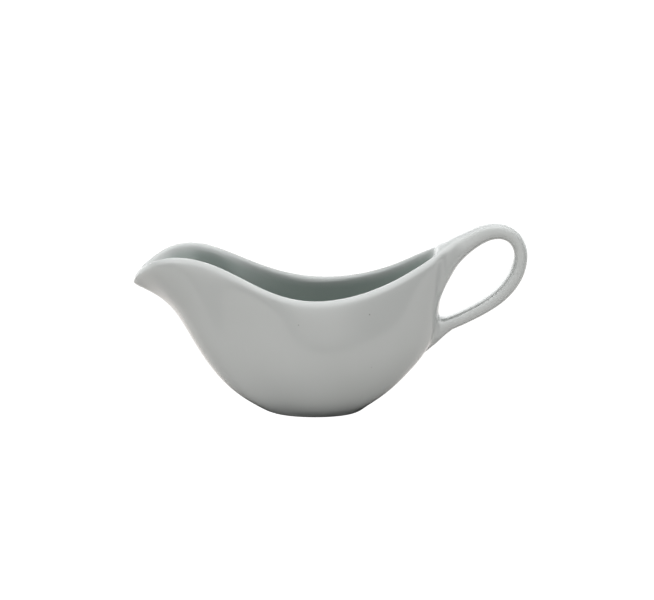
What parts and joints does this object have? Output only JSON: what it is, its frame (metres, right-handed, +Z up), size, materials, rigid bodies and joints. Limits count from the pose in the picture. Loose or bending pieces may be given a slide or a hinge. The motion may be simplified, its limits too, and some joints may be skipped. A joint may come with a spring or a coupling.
{
  "type": "gravy boat",
  "caption": "White glazed porcelain gravy boat: an open oval bowl drawn out into a pouring spout, on a small oval foot, with a closed loop handle at the other end.",
  "frame": {"origin": "on the surface that the foot stands on, under the middle of the whole object's box", "axes": "+Z up, +X towards the handle, -X towards the pouring spout, +Y across; the object is symmetric about the XZ plane"},
  "size_m": [0.2101, 0.077, 0.1026],
  "materials": {
    "glazed_porcelain": "polished",
    "joining_slip": "satin"
  },
  "bodies": {
    "root": {"boat_body": "glazed_porcelain", "handle": "glazed_porcelain", "upper_joint_slip": "joining_slip", "lower_joint_slip": "joining_slip"}
  },
  "joints": []
}
